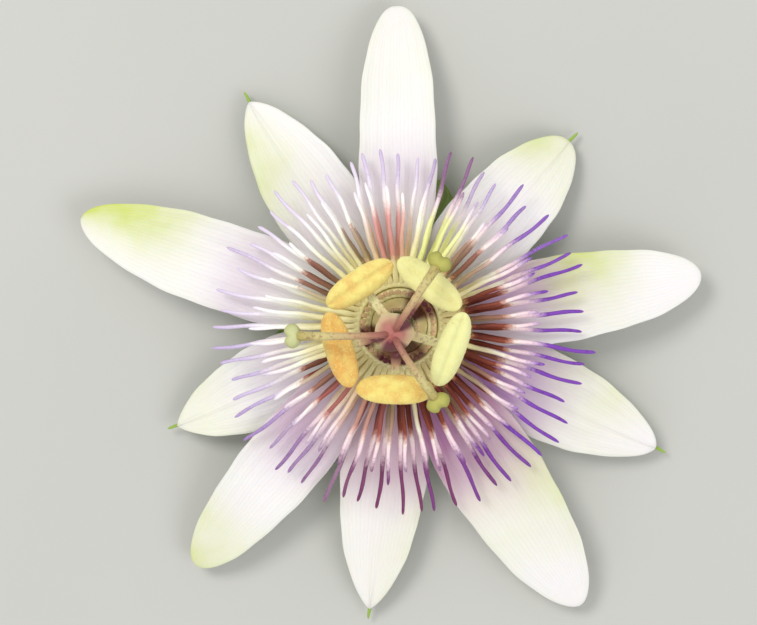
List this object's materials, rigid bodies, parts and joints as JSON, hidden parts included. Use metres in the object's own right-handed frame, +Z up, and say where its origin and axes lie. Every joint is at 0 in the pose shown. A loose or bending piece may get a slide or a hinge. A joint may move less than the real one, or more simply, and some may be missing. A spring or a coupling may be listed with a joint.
{
  "type": "passion flower",
  "caption": "Cut passion flower lying face up: white petals and sepals, banded filament corona, yellow anthers and arching styles.",
  "frame": {"origin": "middle of the flower's outline seen from above, on the surface it lies on", "axes": "+Z up, along the flower's axis and out of its face; +Y towards the topmost petal in the picture, +X towards its right"},
  "size_m": [0.0879, 0.0877, 0.0259],
  "materials": {
    "stem": "satin green stem skin",
    "bract": "satin pale green leaf with fine veins",
    "sepal": "soft satin white above, green keel below",
    "petal": "soft satin white, faint lilac and yellow-green tints, fine veins",
    "corona": "satin; maroon at the root, cream in the middle, violet at the tip",
    "corona_inner": "satin dark maroon purple",
    "column": "satin pale yellow-green",
    "stamen_filament": "satin pale green, flecked with purple",
    "anther": "matt pollen yellow on a pale green body",
    "ovary": "matt bloom on pale green",
    "style": "satin purple-brown",
    "stigma": "satin olive green with a fine grain"
  },
  "bodies": {
    "root": {"pedicel": "stem", "receptacle": "stem", "bract_1": "bract", "bract_2": "bract", "bract_3": "bract", "sepal_1": "sepal", "sepal_2": "sepal", "sepal_3": "sepal", "sepal_4": "sepal", "sepal_5": "sepal", "petal_1": "petal", "petal_2": "petal", "petal_3": "petal", "petal_4": "petal", "petal_5": "petal", "corona_outer": "corona", "corona_second": "corona", "corona_inner": "corona_inner", "operculum": "corona_inner", "androgynophore": "column", "stamen_filament_1": "stamen_filament", "stamen_filament_2": "stamen_filament", "stamen_filament_3": "stamen_filament", "stamen_filament_4": "stamen_filament", "stamen_filament_5": "stamen_filament", "anther_1": "anther", "anther_2": "anther", "anther_3": "anther", "anther_4": "anther", "anther_5": "anther", "ovary": "ovary", "style_1": "style", "style_2": "style", "style_3": "style", "stigma_1": "stigma", "stigma_2": "stigma", "stigma_3": "stigma"}
  },
  "joints": []
}
